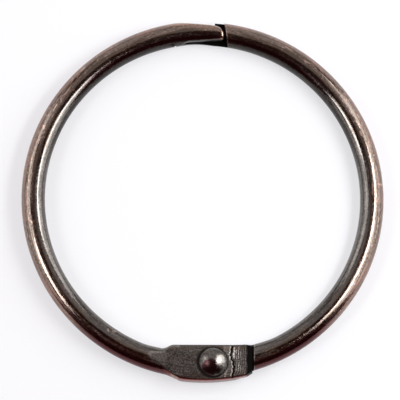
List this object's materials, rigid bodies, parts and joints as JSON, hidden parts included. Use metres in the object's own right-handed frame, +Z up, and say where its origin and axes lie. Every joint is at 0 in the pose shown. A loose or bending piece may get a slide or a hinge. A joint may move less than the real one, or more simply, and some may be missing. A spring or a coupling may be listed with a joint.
{
  "type": "hinged snap ring",
  "caption": "Hinged metal ring of round wire: two half rings riveted at flattened lugs, closing with a hooked half lap that snaps shut; opens to go round a pole or eyelet.",
  "frame": {"origin": "centre of the ring, on the surface that it lies on", "axes": "+Z up out of the ring's front face, which carries the rivet's head; +Y from the hinge towards the snap; +X towards the half with the rear lug"},
  "size_m": [0.0498, 0.0502, 0.0044],
  "materials": {
    "left_wire": "steel wire plated in antique copper, dark oxide worn to copper on the flanks and edges",
    "right_wire": "steel wire plated in antique copper, dark oxide worn to copper on the flanks and edges",
    "rivet": "formed steel rivet plated in antique copper, polished by wear"
  },
  "bodies": {
    "right_side": {"right_half": "right_wire", "hinge_rivet": "rivet"},
    "left_side": {"left_half": "left_wire"}
  },
  "joints": [
    {"name": "hinge_swing", "type": "hinge", "parent": "right_side", "child": "left_side", "pos_m": [0.00135, -0.02291, 0.00178], "axis": [0, 0, 1], "range_deg": [0, 145]}
  ]
}
